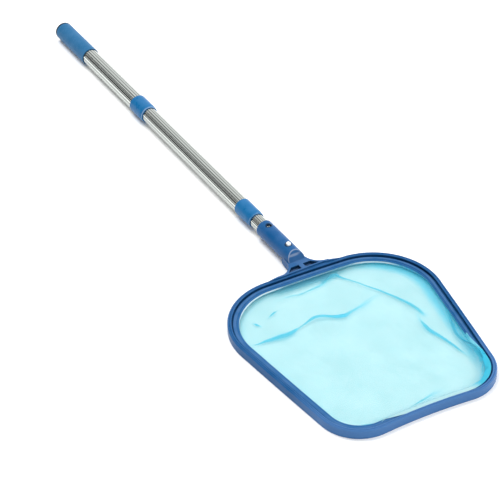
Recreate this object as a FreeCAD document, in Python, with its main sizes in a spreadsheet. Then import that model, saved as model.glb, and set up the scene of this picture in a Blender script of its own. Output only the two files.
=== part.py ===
import FreeCAD, Part
import math
import os
import re

import Sketcher
from FreeCAD import Placement, Rotation, Vector

# A leaf skimmer net: a shallow netted head on a three-section telescopic pole.
# While it is laid out, y = 0 is the middle of the head's rear edge, +Y runs up the pole to the grip,
# x = 0 is the pole's axis and z = 0 is the ground that the head and the grip lie on.
# At the end every piece is shifted so that the origin is at the bottom centre of the whole part.

# Driving dimensions, in millimetres and degrees.
SIZES = [
    ("head_length", 331.7, "ring, rear edge to front edge on the middle line"),
    ("rear_half_width", 173.9, "ring, half width at the rear side's virtual corner"),
    ("front_half_width", 121.6, "ring, half width at the front side's virtual corner"),
    ("rear_bulge", 5.7, "rear side, how far its middle bows outwards"),
    ("side_bulge", 1.2, "left and right side, how far they bow outwards"),
    ("front_hollow", 9.5, "front side, how far its middle bows inwards"),
    ("rear_corner", 98.0, "radius of the two rear corners"),
    ("front_corner", 59.7, "radius of the two front corners"),
    ("head_skew", 2.7, "the ring sits this far askew on its neck, in degrees"),
    ("ring_height", 13.2, "outer wall of the ring"),
    ("rim_wall", 3.2, "thickness of the outer wall"),
    ("ledge_reach", 12.8, "the ledge that carries the net ends this far inside the outer edge"),
    ("ledge_height", 3.6, "thickness of that ledge"),
    ("rim_bevel", 1.1, "bevel along the top of the outer wall"),
    ("clamp_gap", 0.15, "clamp ring to outer wall"),
    ("clamp_foot", 1.8, "thickness of the clamp ring's foot"),
    ("clamp_height", 10.2, "top of the clamp ring's inner band above the ground"),
    ("band_width", 5.4, "width of the clamp ring's inner band"),
    ("band_bevel", 1.0, "bevel along the top of that band"),
    ("net_thickness", 0.8, "the net with its hem, as laid in the ring"),
    ("net_trim", 0.6, "net's cut edge to the outer wall"),
    ("net_bend", 0.4, "the net starts to come down this far inside the ledge"),
    ("net_drop", 16.0, "the net comes down to its floor over this width"),
    ("net_floor", 1.1, "underside of the net's floor above the ground"),
    ("fold_height", 3.4, "tallest fold of the slack net"),
    ("fold_width", 13.0, "width of that fold"),
    ("neck_reach", 26.0, "radius of the hollow curves between ring and neck"),
    ("neck_half_width", 14.6, "half width of the neck where those curves end"),
    ("neck_taper", 14.0, "length over which the neck narrows to the socket"),
    ("neck_tip_inset", 0.5, "the neck's tip ends this far inside the socket's side"),
    ("neck_top", 15.2, "top of the neck plate above the ground"),
    ("neck_bottom", 2.0, "underside of the neck plate above the ground"),
    ("pocket_wall", 0.6, "ring's outer edge to the pockets"),
    ("pocket_rib", 7.2, "rib between the two pockets of the neck"),
    ("pocket_top", 12.3, "length of a pocket's far edge"),
    ("pocket_flare", 9.3, "how much wider a pocket is along the ring"),
    ("pocket_length", 9.6, "pocket, along the pole"),
    ("pocket_depth", 5.5, "pocket, below the neck plate's top"),
    ("socket_length", 110.5, "ring's rear edge to the socket's mouth"),
    ("socket_radius", 13.5, "outside of the socket"),
    ("socket_end", 18.5, "the socket's sloped end meets the neck plate here"),
    ("socket_end_rise", 9.5, "run of the sloped end along the pole"),
    ("socket_bevel", 0.7, "bevel along the edge of that sloped end"),
    ("socket_fit", 0.15, "inner tube to socket bore"),
    ("button_from_mouth", 67.3, "button's hole from the socket's mouth"),
    ("spare_from_mouth", 13.0, "spare hole from the socket's mouth"),
    ("tube_past_button", 15.0, "the inner tube ends this far past the button"),
    ("button_radius", 3.8, "spring button"),
    ("button_hole_fit", 0.3, "button to the edge of its holes"),
    ("button_proud", 3.2, "upper button above the socket"),
    ("button_below", 1.8, "lower button below the socket, clear of the ground"),
    ("button_edge", 1.5, "bevel of a button's end"),
    ("spring_width", 7.0, "width of the clip's arms"),
    ("spring_thickness", 1.4, "thickness of the clip's arms"),
    ("spring_length", 34.0, "button to the clip's bend"),
    ("spring_bend", 2.6, "inside radius of the clip's bend"),
    ("tube_wall", 0.9, "wall of all three tubes"),
    ("inner_radius", 11.1, "outside of the inner tube"),
    ("middle_radius", 12.75, "outside of the middle tube"),
    ("outer_radius", 14.0, "outside of the outer tube"),
    ("flute_count", 18.0, "flutes round each tube"),
    ("flute_radius", 2.2, "radius of a flute's hollow"),
    ("flute_depth", 0.35, "depth of a flute"),
    ("neck_gap", 21.9, "bare inner tube between socket and middle collar"),
    ("middle_reach", 298.5, "bare middle tube between the collars"),
    ("outer_reach", 175.2, "bare outer tube between collar and grip"),
    ("inner_hidden", 272.0, "inner tube inside the middle collar and tube"),
    ("middle_hidden", 52.0, "middle tube inside the outer collar and tube"),
    ("middle_collar_length", 42.8, "collar on the middle tube"),
    ("middle_collar_radius", 13.6, "outside of that collar"),
    ("outer_collar_length", 41.9, "collar on the outer tube"),
    ("outer_collar_radius", 15.3, "outside of that collar"),
    ("collar_bevel", 8.0, "length of a collar's tapered nose"),
    ("collar_nose", 1.0, "wall at the tip of a collar's nose"),
    ("collar_stop", 3.0, "length of the lip that the larger tube butts on"),
    ("collar_edge", 0.8, "bevel of a collar's ends"),
    ("slide_fit", 0.3, "tube to the collar's lip that it slides through"),
    ("press_fit", 0.05, "pieces that are pressed or bonded together"),
    ("grip_radius", 15.5, "outside of the grip"),
    ("grip_length", 107.0, "grip sleeve"),
    ("grip_edge", 1.2, "bevel of the grip's ends"),
    ("plug_dome", 2.6, "end plug's head past the grip"),
    ("plug_inset", 0.3, "that head's edge inside the grip's side"),
    ("plug_edge", 1.3, "bevel of that head"),
    ("plug_depth", 12.0, "end plug's stem inside the tube"),
    ("plug_bore", 8.5, "hollow of that stem"),
    ("lock_stem", 16.0, "lock core's stem inside its tube"),
    ("lock_flange", 2.0, "lock core's flange on the tube's end"),
    ("lock_sleeve_length", 20.0, "expanding sleeve"),
    ("lock_gap", 0.3, "expanding sleeve to flange and to washer"),
    ("lock_taper", 2.0, "how much the core's spindle narrows to its tip"),
    ("lock_spindle", 4.4, "expanding sleeve's wall at the flange"),
    ("lock_fit", 0.06, "expanding sleeve to core, and to the tube round it"),
    ("lock_slots", 4.0, "slots in the expanding sleeve"),
    ("lock_slot_width", 1.6, "width of a slot"),
    ("lock_slot_length", 14.0, "length of a slot"),
    ("washer_thickness", 1.2, "washer that keeps the sleeve on the core"),
    ("washer_overlap", 1.6, "washer past the spindle's tip"),
    ("screw_radius", 1.9, "lock screw's shank"),
    ("screw_length", 14.0, "lock screw's shank"),
    ("screw_head_radius", 3.6, "lock screw's head"),
    ("screw_head_height", 2.4, "lock screw's head"),
]

doc = FreeCAD.newDocument("LeafSkimmer")
sheet = doc.addObject("Spreadsheet::Sheet", "Sizes")
for row, (alias, value, note) in enumerate(SIZES, start=1):
    sheet.set("A%d" % row, alias)
    sheet.set("B%d" % row, str(value))
    sheet.set("C%d" % row, note)
    sheet.setAlias("B%d" % row, alias)
doc.recompute()


def formula(words):
    """The expression for words such as grip_radius - tube_wall, with each size bound to the sheet."""
    return re.sub(r"\b(?!min\b)[a-z][a-z_]+", lambda found: "Sizes." + found.group(0), words)


def size(words):
    return float(sheet.evalExpression(formula(words)))


# Stations along the pole, each from the one before.
Y_MOUTH = "socket_length"
Y_BUTTON = Y_MOUTH + " - button_from_mouth"
Y_SPARE = Y_MOUTH + " - spare_from_mouth"
Y_INNER_START = Y_BUTTON + " - tube_past_button"
Y_MIDDLE_COLLAR = Y_MOUTH + " + neck_gap"
Y_INNER_END = Y_MIDDLE_COLLAR + " + inner_hidden"
Y_MIDDLE_START = Y_MIDDLE_COLLAR + " + collar_stop"
Y_OUTER_COLLAR = Y_MIDDLE_COLLAR + " + middle_collar_length + middle_reach"
Y_MIDDLE_END = Y_OUTER_COLLAR + " + middle_hidden"
Y_OUTER_START = Y_OUTER_COLLAR + " + collar_stop"
Y_GRIP = Y_OUTER_COLLAR + " + outer_collar_length + outer_reach"
Y_GRIP_END = Y_GRIP + " + grip_length"
AXIS_HEIGHT = "grip_radius"
PLUG_HEAD = "grip_radius - plug_inset"

pieces = []


def keep(piece, label):
    """Names a finished piece and adds it to the list that is written out."""
    piece.Label = label
    pieces.append(piece)
    return piece


def on_pole(piece, station):
    """Puts a piece that was drawn along its own Y axis on the pole's axis, at a station."""
    piece.Placement = Placement(Vector(0, size(station), size(AXIS_HEIGHT)), Rotation())


def origin_plane(body, role):
    return next(part for part in body.Origin.OriginFeatures if part.Role == role)


def new_sketch(body, name, plane):
    sketch = body.newObject("Sketcher::SketchObject", name)
    sketch.AttachmentSupport = (origin_plane(body, plane), [""])
    sketch.MapMode = "FlatFace"
    return sketch


def place_point(sketch, geometry, end, across, along):
    """Ties one point of a sketch to two formulas, measured from the sketch's origin."""
    for direction, axis, words in (("X", -2, across), ("Y", -1, along)):
        if words == "0":
            sketch.addConstraint(Sketcher.Constraint("PointOnObject", geometry, end, axis))
            continue
        rule = Sketcher.Constraint("Distance" + direction, -1, 1, geometry, end, size(words))
        index = sketch.addConstraint(rule)
        sketch.setExpression("Constraints[%d]" % index, formula(words))


def draw_profile(sketch, points):
    """A closed outline of straight lines through points that are given as formulas."""
    spots = [Vector(size(across), size(along), 0) for across, along in points]
    first = sketch.GeometryCount
    for start, end in zip(spots, spots[1:] + spots[:1]):
        sketch.addGeometry(Part.LineSegment(start, end))
    for step in range(len(points)):
        following = first + (step + 1) % len(points)
        sketch.addConstraint(Sketcher.Constraint("Coincident", first + step, 2, following, 1))
    for step, (across, along) in enumerate(points):
        place_point(sketch, first + step, 1, across, along)


def draw_circle(sketch, across, along, radius):
    circle = Part.Circle(Vector(size(across), size(along), 0), Vector(0, 0, 1), size(radius))
    index = sketch.addGeometry(circle)
    place_point(sketch, index, 3, across, along)
    rule = sketch.addConstraint(Sketcher.Constraint("Radius", index, size(radius)))
    sketch.setExpression("Constraints[%d]" % rule, formula(radius))


def bevelled(body, amount, spots):
    """Bevels the circular edges at the given (radius, station) spots of the body's tip."""
    tip = body.Tip
    names = []
    for number, edge in enumerate(tip.Shape.Edges, start=1):
        if not isinstance(edge.Curve, Part.Circle):
            continue
        for across, along in spots:
            same_radius = abs(edge.Curve.Radius - size(across)) < 1e-4
            if same_radius and abs(edge.Curve.Center.y - size(along)) < 1e-4:
                names.append("Edge%d" % number)
    bevel = body.newObject("PartDesign::Chamfer", "Bevel")
    bevel.Base = (tip, names)
    bevel.setExpression("Size", formula(amount))
    doc.recompute()


def turned_body(label, points):
    """A piece turned about its own Y axis; the points are (radius, station) formulas."""
    body = doc.addObject("PartDesign::Body", label)
    sketch = new_sketch(body, label + "_profile", "XY_Plane")
    draw_profile(sketch, points)
    turned = body.newObject("PartDesign::Revolution", label + "_turned")
    turned.Profile = sketch
    turned.ReferenceAxis = (sketch, ["V_Axis"])
    turned.Angle = 360
    doc.recompute()
    return keep(body, label)


def cut_hole(body, label, along, radius):
    """A round hole right through the body, square to its own Y axis."""
    circle = new_sketch(body, label + "_hole", "XY_Plane")
    draw_circle(circle, "0", along, radius)
    pocket = body.newObject("PartDesign::Pocket", label + "_drilled")
    pocket.Profile = circle
    pocket.Type = "ThroughAll"
    pocket.Midplane = True
    doc.recompute()


def cut_repeated(body, label, sketch, count, length=None):
    """Cuts a sketch of the XZ plane along +Y and repeats the cut round the Y axis."""
    pocket = body.newObject("PartDesign::Pocket", label + "_cut")
    pocket.Profile = sketch
    if length is None:
        pocket.Type = "ThroughAll"
        pocket.Midplane = True
    else:
        pocket.setExpression("Length", formula(length))
    pattern = body.newObject("PartDesign::PolarPattern", label + "_pattern")
    pattern.Originals = [pocket]
    pattern.Axis = (origin_plane(body, "Y_Axis"), [""])
    pattern.Angle = 360
    pattern.setExpression("Occurrences", formula(count))
    body.Tip = pattern
    doc.recompute()


def fluted_tube(label, radius, start, end):
    """An aluminium tube with shallow lengthwise flutes all round."""
    body = doc.addObject("PartDesign::Body", label)
    section = new_sketch(body, label + "_section", "XZ_Plane")
    draw_circle(section, "0", "0", radius)
    draw_circle(section, "0", "0", radius + " - tube_wall")
    pad = body.newObject("PartDesign::Pad", label + "_pad")
    pad.Profile = section
    pad.Reversed = True
    pad.setExpression("Length", formula("(%s) - (%s)" % (end, start)))
    doc.recompute()
    flute = new_sketch(body, label + "_flute", "XZ_Plane")
    draw_circle(flute, "0", radius + " + flute_radius - flute_depth", "flute_radius")
    cut_repeated(body, label, flute, "flute_count")
    on_pole(body, start)
    return keep(body, label)


def collar(label, station, length, radius, large_tube, small_tube):
    """A plastic collar pressed on the larger tube; its lip guides the smaller one."""
    seat = large_tube + " + press_fit"
    lip = small_tube + " + slide_fit"
    body = turned_body(label, [
        (lip, "0"),
        (lip + " + collar_nose", "0"),
        (radius, "collar_bevel"),
        (radius, length),
        (seat, length),
        (seat, "collar_stop"),
        (lip, "collar_stop"),
    ])
    wall = "%s - (%s)" % (radius, seat)
    bevelled(body, "min(collar_edge; 0.6 * (%s))" % wall, [(radius, length)])
    bevelled(body, "min(collar_edge; collar_nose) / 2", [(lip + " + collar_nose", "0")])
    on_pole(body, station)
    return body


inner = fluted_tube("inner_tube", "inner_radius", Y_INNER_START, Y_INNER_END)
cut_hole(inner, "inner_tube", "tube_past_button", "button_radius + button_hole_fit")
fluted_tube("middle_tube", "middle_radius", Y_MIDDLE_START, Y_MIDDLE_END)
fluted_tube("outer_tube", "outer_radius", Y_OUTER_START, Y_GRIP_END)
collar("middle_collar", Y_MIDDLE_COLLAR, "middle_collar_length", "middle_collar_radius",
       "middle_radius", "inner_radius")
collar("outer_collar", Y_OUTER_COLLAR, "outer_collar_length", "outer_collar_radius",
       "outer_radius", "middle_radius")

grip = turned_body("grip_sleeve", [
    ("outer_radius + press_fit", "0"),
    ("grip_radius", "0"),
    ("grip_radius", "grip_length"),
    ("outer_radius + press_fit", "grip_length"),
])
bevelled(grip, "min(grip_edge; 0.9 * (grip_radius - outer_radius - press_fit))",
        [("grip_radius", "0"), ("grip_radius", "grip_length")])
on_pole(grip, Y_GRIP)

plug = turned_body("grip_end_plug", [
    ("0", "plug_depth + plug_dome"),
    ("0", "plug_depth / 2"),
    ("plug_bore", "plug_depth / 2"),
    ("plug_bore", "0"),
    ("outer_radius - tube_wall - press_fit", "0"),
    ("outer_radius - tube_wall - press_fit", "plug_depth"),
    (PLUG_HEAD, "plug_depth"),
    (PLUG_HEAD, "plug_depth + plug_dome"),
])
bevelled(plug, "min(plug_edge; 0.9 * plug_dome)", [(PLUG_HEAD, "plug_depth + plug_dome")])
on_pole(plug, Y_GRIP_END + " - plug_depth")


def lock(name, station, tube_radius, outer_bore):
    """The twist lock on a tube's far end: core, expanding sleeve, washer and screw."""
    inside = tube_radius + " - tube_wall"
    sleeve_radius = outer_bore + " - lock_fit"
    root = sleeve_radius + " - lock_spindle"
    tip = root + " - lock_taper"
    sleeve_start = "lock_flange + lock_gap"
    spindle_end = sleeve_start + " + lock_sleeve_length + lock_gap"
    core = turned_body("lock_core_" + name, [
        ("0", "-lock_stem"),
        (inside + " - press_fit", "-lock_stem"),
        (inside + " - press_fit", "0"),
        (tube_radius, "0"),
        (tube_radius, "lock_flange"),
        (root, "lock_flange"),
        (tip, spindle_end),
        ("screw_radius + press_fit", spindle_end),
        ("screw_radius + press_fit", spindle_end + " - screw_length"),
        ("0", spindle_end + " - screw_length"),
    ])
    on_pole(core, station)

    sleeve = turned_body("lock_sleeve_" + name, [
        (root + " + lock_fit", sleeve_start),
        (sleeve_radius, sleeve_start),
        (sleeve_radius, sleeve_start + " + lock_sleeve_length"),
        (tip + " + lock_fit", sleeve_start + " + lock_sleeve_length"),
    ])
    slot = new_sketch(sleeve, "slot_" + name, "XZ_Plane")
    draw_profile(slot, [
        ("-lock_slot_width / 2", "0"),
        ("lock_slot_width / 2", "0"),
        ("lock_slot_width / 2", outer_bore),
        ("-lock_slot_width / 2", outer_bore),
    ])
    slot.setExpression("AttachmentOffset.Base.z", formula("-(%s)" % sleeve_start))
    cut_repeated(sleeve, "slot_" + name, slot, "lock_slots", "lock_slot_length")
    on_pole(sleeve, station)

    washer = turned_body("lock_washer_" + name, [
        ("screw_radius + press_fit", spindle_end),
        (tip + " + washer_overlap", spindle_end),
        (tip + " + washer_overlap", spindle_end + " + washer_thickness"),
        ("screw_radius + press_fit", spindle_end + " + washer_thickness"),
    ])
    on_pole(washer, station)

    head = spindle_end + " + washer_thickness"
    screw = turned_body("lock_screw_" + name, [
        ("0", spindle_end + " - screw_length"),
        ("screw_radius", spindle_end + " - screw_length"),
        ("screw_radius", head),
        ("screw_head_radius", head),
        ("screw_head_radius", head + " + screw_head_height"),
        ("0", head + " + screw_head_height"),
    ])
    bevelled(screw, "screw_head_height / 2", [("screw_head_radius", head + " + screw_head_height")])
    on_pole(screw, station)


lock("middle", Y_MIDDLE_END, "middle_radius", "outer_radius - tube_wall")
lock("inner", Y_INNER_END, "inner_radius", "middle_radius - tube_wall")


def head_corners():
    """Centres and signed radii of the ring's four sides, and the centres of its four corners."""
    rear = -size("rear_bulge")
    front = -size("head_length + front_hollow")
    wide = size("rear_half_width")
    narrow = size("front_half_width")
    middle = Vector(0, (rear + front) / 2, 0)
    points = [Vector(-wide, rear), Vector(wide, rear), Vector(narrow, front), Vector(-narrow, front)]
    bulges = [size(words) for words in ("rear_bulge", "side_bulge", "-front_hollow", "side_bulge")]
    corner_radii = [size(words) for words in ("rear_corner",) * 2 + ("front_corner",) * 2]
    sides = []
    for start, end, bulge in zip(points, points[1:] + points[:1], bulges):
        half = (end - start).Length / 2
        radius = (half ** 2 + bulge ** 2) / (2 * bulge)
        centre = (start + end) / 2
        outward = Vector(end.y - start.y, start.x - end.x, 0).normalize()
        if outward.dot(centre - middle) < 0:
            outward = -outward
        sides.append((centre + outward * (bulge - radius), radius))
    corners = []
    for number, radius in enumerate(corner_radii):
        first, last = sides[number - 1], sides[number]
        reach_first, reach_last = abs(first[1] - radius), abs(last[1] - radius)
        apart = last[0] - first[0]
        along = (reach_first ** 2 - reach_last ** 2 + apart.Length ** 2) / (2 * apart.Length)
        across = math.sqrt(reach_first ** 2 - along ** 2)
        step = Vector(apart).normalize()
        foot = first[0] + step * along
        side_step = Vector(-step.y, step.x, 0) * across
        near = min((foot + side_step, foot - side_step), key=lambda spot: (spot - points[number]).Length)
        corners.append((near, radius))
    return sides, corners


def arc_about(centre, start, end, radius):
    """The shorter arc about a centre, from the direction of one point to that of another."""
    first = (start - centre).normalize()
    last = (end - centre).normalize()
    between = (first + last).normalize()
    spots = [centre + direction * radius for direction in (first, between, last)]
    return Part.Arc(*spots).toShape()


def head_outline(inset, height):
    """The ring's outline moved inwards by inset: eight tangent arcs, sitting askew on the neck."""
    sides, corners = head_corners()
    edges = []
    for number, (centre, radius) in enumerate(sides):
        corner, corner_radius = corners[number]
        following = corners[(number + 1) % 4][0]
        before = sides[number - 1]
        touch = corner + (corner - centre).normalize() * math.copysign(corner_radius, radius)
        touch_before = corner + (corner - before[0]).normalize() * math.copysign(corner_radius, before[1])
        edges.append(arc_about(corner, touch_before, touch, corner_radius - inset))
        edges.append(arc_about(centre, corner, following, abs(radius - inset)))
    wire = Part.Wire(edges)
    wire.translate(Vector(0, 0, height))
    wire.rotate(Vector(0, size(Y_BUTTON), 0), Vector(0, 0, 1), -size("head_skew"))
    return wire


def ring_plate(outer_inset, inner_inset, bottom, top):
    """A flat ring between two insets of the outline, from one height to another."""
    wires = [head_outline(outer_inset, bottom), head_outline(inner_inset, bottom)]
    face = Part.makeFace(wires, "Part::FaceMakerBullseye")
    return face.extrude(Vector(0, 0, top - bottom))


def bevel_top(solid, height, amount):
    """Bevels the edges that lie level at a height."""
    edges = []
    for edge in solid.Edges:
        box = edge.BoundBox
        if box.ZLength < 1e-5 and abs(box.ZMax - height) < 1e-5:
            edges.append(edge)
    return solid.makeChamfer(amount, edges)


def feature(label, shape):
    """A piece whose shape is worked out here from the sheet."""
    piece = doc.addObject("Part::Feature", label)
    solids = shape.removeSplitter().Solids
    piece.Shape = solids[0] if len(solids) == 1 else Part.Compound(solids)
    return keep(piece, label)


def prism(points, direction):
    """A prism of a flat outline of straight lines."""
    wire = Part.makePolygon(points + points[:1])
    return Part.Face(wire).extrude(direction)


def pole_cylinder(radius, start, end):
    base = Vector(0, size(start), size(AXIS_HEIGHT))
    return Part.makeCylinder(size(radius), size(end) - size(start), base, Vector(0, 1, 0))


def neck_plate():
    """The flat neck: hollow curves from the ring that narrow to the socket's width."""
    reach = size("neck_reach")
    half = size("neck_half_width")
    narrow = size("socket_radius - neck_tip_inset")
    inside = -size("rim_wall") / 2
    length = reach + size("neck_taper")
    bottom, top = size("neck_bottom"), size("neck_top")
    edges = []
    for side in (1, -1):
        root = Vector(side * (half + reach), 0, bottom)
        eighth = reach * (1 - math.sqrt(0.5))
        bend = Vector(side * (half + eighth), eighth, bottom)
        end = Vector(side * half, reach, bottom)
        tip = Vector(side * narrow, length, bottom)
        edges += [
            Part.makeLine(Vector(side * (half + reach), inside, bottom), root),
            Part.Arc(root, bend, end).toShape(),
            Part.makeLine(end, tip),
        ]
    edges.append(Part.makeLine(Vector(narrow, length, bottom), Vector(-narrow, length, bottom)))
    edges.append(Part.makeLine(Vector(half + reach, inside, bottom), Vector(-half - reach, inside, bottom)))
    outline = Part.Wire(Part.__sortEdges__(edges))
    return Part.Face(outline).extrude(Vector(0, 0, top - bottom))


def neck_pocket(side):
    """One of the two pockets: square beside the rib, slanting outwards on its far side."""
    near = size("pocket_rib") / 2
    far = near + size("pocket_top")
    wide = far + size("pocket_flare")
    start, end = size("pocket_wall"), size("pocket_length")
    floor = size("neck_top - pocket_depth")
    points = [Vector(side * near, start, floor), Vector(side * wide, start, floor),
              Vector(side * far, end, floor), Vector(side * near, end, floor)]
    return prism(points, Vector(0, 0, 2 * size("pocket_depth")))


def socket_body():
    """The round socket with its sloped end, before it is bored."""
    solid = pole_cylinder("socket_radius", "0", Y_MOUTH)
    radius = size("socket_radius")
    low, high = size("neck_top"), size(AXIS_HEIGHT) + radius
    start, rise = size("socket_end"), size("socket_end_rise")
    above = high + (high - low)
    side = -2 * radius
    points = [Vector(side, start, low), Vector(side, start + 2 * rise, above),
              Vector(side, -rise, above), Vector(side, -rise, low)]
    sloped = solid.cut(prism(points, Vector(-2 * side, 0, 0)))
    arch = [edge for edge in sloped.Edges if isinstance(edge.Curve, Part.Ellipse)]
    return sloped.makeChamfer(size("socket_bevel"), arch)


def cross_hole(station, radius):
    """A hole straight down through the pole's axis."""
    return Part.makeCylinder(radius, 2 * size("grip_radius"), Vector(0, size(station), 0), Vector(0, 0, 1))


def head_frame():
    """The blue head: L-shaped ring, neck plate with its two pockets, and socket."""
    wall = ring_plate(0, size("rim_wall"), 0, size("ring_height"))
    wall = bevel_top(wall, size("ring_height"), size("rim_bevel"))
    ledge = ring_plate(size("rim_wall") / 2, size("ledge_reach"), 0, size("ledge_height"))
    neck = socket_body().fuse(neck_plate()).cut([neck_pocket(1), neck_pocket(-1)])
    hole = size("button_radius + button_hole_fit")
    solid = neck.fuse([wall, ledge])
    bore = pole_cylinder("inner_radius + socket_fit", Y_INNER_START + " - socket_fit", Y_MOUTH)
    return solid.cut([bore, cross_hole(Y_BUTTON, hole), cross_hole(Y_SPARE, hole)])


def clamp_ring():
    """The ring pressed in over the net's edge: a flat foot and a raised inner band."""
    bottom = size("ledge_height + net_thickness")
    outer = size("rim_wall + clamp_gap")
    inner = size("ledge_reach")
    foot = ring_plate(outer, inner, bottom, bottom + size("clamp_foot"))
    band = ring_plate(inner - size("band_width"), inner, bottom, size("clamp_height"))
    return bevel_top(band, size("clamp_height"), size("band_bevel")).fuse(foot)


# The slack net's main folds: points of each crest as shares of the ring's half width and length,
# with the share of the full height at each point.
FOLDS = [
    [(-0.817, -0.286, 0.2), (-0.575, -0.304, 0.8), (-0.224, -0.274, 1.0),
     (-0.052, -0.326, 0.9), (0.173, -0.308, 0.8), (0.357, -0.286, 0.2)],
    [(-0.334, -0.096, 0.2), (0.023, -0.099, 0.7), (0.242, -0.109, 1.0),
     (0.374, -0.253, 1.0), (0.500, -0.389, 0.8), (0.535, -0.485, 0.2)],
    [(0.443, -0.564, 0.2), (0.506, -0.666, 0.8), (0.546, -0.802, 0.2)],
    [(0.771, -0.362, 0.2), (0.656, -0.606, 0.8), (0.598, -0.724, 0.6),
     (0.564, -0.862, 0.2)],
    [(-0.615, -0.708, 0.2), (-0.529, -0.745, 0.6), (-0.414, -0.760, 0.2)],
    [(-0.213, -0.920, 0.2), (-0.069, -0.913, 0.6), (0.092, -0.910, 0.2)],
]


def fold_ridge(crest):
    """One fold of the net: low arched sections lofted along its crest."""
    bottom = size("net_floor") + size("net_thickness") / 2
    sections = []
    width, length = size("rear_half_width"), size("head_length")
    line = [Vector(across * width, along * length, bottom) for across, along, share in crest]
    for number, (middle, (across, along, share)) in enumerate(zip(line, crest)):
        before = line[max(number - 1, 0)]
        after = line[min(number + 1, len(line) - 1)]
        direction = (after - before).normalize()
        aside = Vector(-direction.y, direction.x, 0) * size("fold_width") / 2 * math.sqrt(share)
        top = middle + Vector(0, 0, size("fold_height") * share + size("net_thickness") / 2)
        left, right = middle - aside, middle + aside
        sections.append(Part.Wire([Part.Arc(left, top, right).toShape(), Part.makeLine(right, left)]))
    return Part.makeLoft(sections, True, True)


def leaf_net():
    """The net: its edge is trapped in the ring, and inside it drops to a slack, folded floor."""
    thickness = size("net_thickness")
    shoulder = size("ledge_height")
    edge = size("ledge_reach + net_bend")
    foot = edge + size("net_drop")
    outlines = [head_outline(edge, shoulder + thickness), head_outline(foot, size("net_floor"))]
    dish = Part.makeLoft(outlines, True, True)
    hollow = dish.translated(Vector(0, 0, thickness))
    rim = ring_plate(size("rim_wall + net_trim"), edge + 1.5 * thickness, shoulder, shoulder + thickness)
    net = dish.cut(hollow).fuse(rim)
    folds = [fold_ridge(crest) for crest in FOLDS]
    return net.fuse(folds)


def arm_height():
    """Height above the axis at which a flat arm of the clip meets the tube's wall from inside."""
    wall = size("inner_radius - tube_wall")
    return math.sqrt(wall ** 2 - (size("spring_width") / 2) ** 2) - size("press_fit")


def clip_spring():
    """The V-shaped spring of the button clip, inside the inner tube."""
    bend, thick = size("spring_bend"), size("spring_thickness")
    pad_top = arm_height()
    pad_low = pad_top - thick
    bend_at = size(Y_BUTTON + " + spring_length")
    pad_end = size(Y_BUTTON + " + button_radius")
    pad_start = size(Y_BUTTON + " - button_radius")
    centre = size(AXIS_HEIGHT)
    left = -size("spring_width") / 2

    def spot(along, up):
        return Vector(left, along, centre + up)

    outer = bend + thick
    edges = [
        Part.Arc(spot(bend_at, outer), spot(bend_at + outer, 0), spot(bend_at, -outer)).toShape(),
        Part.Arc(spot(bend_at, bend), spot(bend_at + bend, 0), spot(bend_at, -bend)).toShape(),
    ]
    for side in (1, -1):
        edges += [
            Part.makeLine(spot(bend_at, side * outer), spot(pad_end, side * pad_top)),
            Part.makeLine(spot(pad_end, side * pad_top), spot(pad_start, side * pad_top)),
            Part.makeLine(spot(pad_start, side * pad_top), spot(pad_start, side * pad_low)),
            Part.makeLine(spot(pad_start, side * pad_low), spot(pad_end, side * pad_low)),
            Part.makeLine(spot(pad_end, side * pad_low), spot(bend_at, side * bend)),
        ]
    wire = Part.Wire(Part.__sortEdges__(edges))
    return Part.Face(wire).extrude(Vector(size("spring_width"), 0, 0))


def clip_button(side, proud):
    """A spring button that stands on the clip's arm and comes out through tube and socket."""
    base = arm_height()
    top = size("socket_radius") + size(proud)
    start = Vector(0, size(Y_BUTTON), size(AXIS_HEIGHT) + side * base)
    solid = Part.makeCylinder(size("button_radius"), top - base, start, Vector(0, 0, side))
    return bevel_top(solid, size(AXIS_HEIGHT) + side * top, size("button_edge"))


head = feature("head_frame", head_frame())
feature("net_clamp_ring", clamp_ring())
feature("leaf_net", leaf_net())
feature("clip_spring", clip_spring())
feature("clip_button_top", clip_button(1, "button_proud"))
feature("clip_button_bottom", clip_button(-1, "button_below"))

doc.recompute()


def move_origin():
    """Shifts every piece so that the origin is at the bottom centre of the whole part."""
    boxes = [piece.Shape.optimalBoundingBox(False, False) for piece in (head, plug)]
    low = Vector(min(box.XMin for box in boxes), min(box.YMin for box in boxes), 0)
    high = Vector(max(box.XMax for box in boxes), max(box.YMax for box in boxes), 0)
    shift = (low + high) * -0.5
    for piece in pieces:
        piece.Placement = Placement(shift + piece.Placement.Base, piece.Placement.Rotation)
    return shift


def check_pieces():
    """Stops the build if any feature failed or any piece isn't a sound solid."""
    for item in doc.Objects:
        if "Invalid" in item.State or "Error" in item.State:
            raise RuntimeError("%s failed: %s" % (item.Label, item.State))
    for piece in pieces:
        if piece.Shape.isNull() or not piece.Shape.isValid() or not piece.Shape.Solids:
            raise RuntimeError("%s isn't a sound solid" % piece.Label)


shift = move_origin()
doc.recompute()
check_pieces()
os.makedirs("parts", exist_ok=True)
for piece in pieces:
    piece.Shape.exportStep("parts/%s.step" % piece.Label)
    print("%-20s solids %d, volume %.0f" % (piece.Label, len(piece.Shape.Solids), piece.Shape.Volume))

print("origin moved by x %.3f, y %.3f" % (shift.x, shift.y))
STATIONS = {
    "mouth": Y_MOUTH,
    "button": Y_BUTTON,
    "spare hole": Y_SPARE,
    "inner tube": Y_INNER_START,
    "inner tube's end": Y_INNER_END,
    "middle collar": Y_MIDDLE_COLLAR,
    "middle tube": Y_MIDDLE_START,
    "middle tube's end": Y_MIDDLE_END,
    "outer collar": Y_OUTER_COLLAR,
    "grip": Y_GRIP,
    "grip's end": Y_GRIP_END,
}
for label, station in STATIONS.items():
    print("%-20s y = %.3f" % (label, size(station) + shift.y))
for proud in ("button_proud", "button_below"):
    print("travel with %s is %.2f" % (proud, size("socket_radius + %s - inner_radius" % proud)))
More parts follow.
